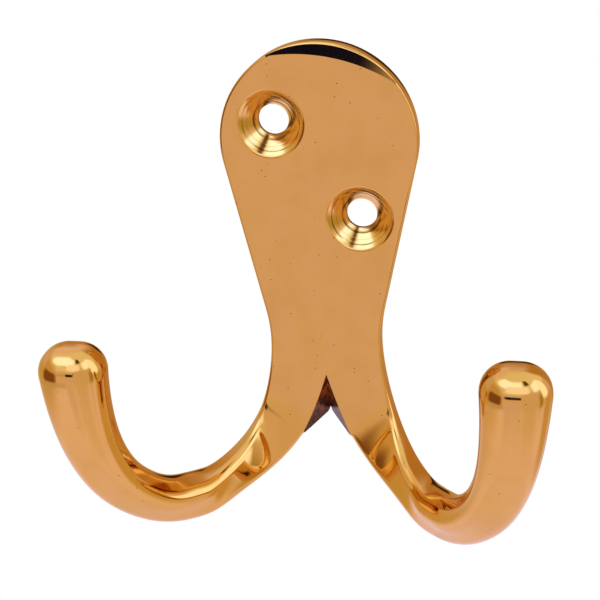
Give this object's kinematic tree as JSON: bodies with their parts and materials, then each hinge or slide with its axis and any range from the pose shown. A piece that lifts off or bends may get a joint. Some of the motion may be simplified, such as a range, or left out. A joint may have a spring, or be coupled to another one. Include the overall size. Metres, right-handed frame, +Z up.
{
  "type": "double robe hook",
  "caption": "Polished brass double robe hook: a pear-shaped back plate with countersunk screw holes, whose foot forks into splayed arms that curve up to club ends",
  "frame": {"origin": "midway between the two screw holes, on the flat back face that rests on the wall", "axes": "+Z up along the wall, +Y into the wall, so that the arms reach out along -Y, +X to the right as seen from the room"},
  "size_m": [0.0722, 0.0382, 0.0748],
  "materials": {
    "polished_brass": "mirror polished, with turned countersinks"
  },
  "bodies": {
    "root": {"robe_hook": "polished_brass"}
  },
  "joints": []
}
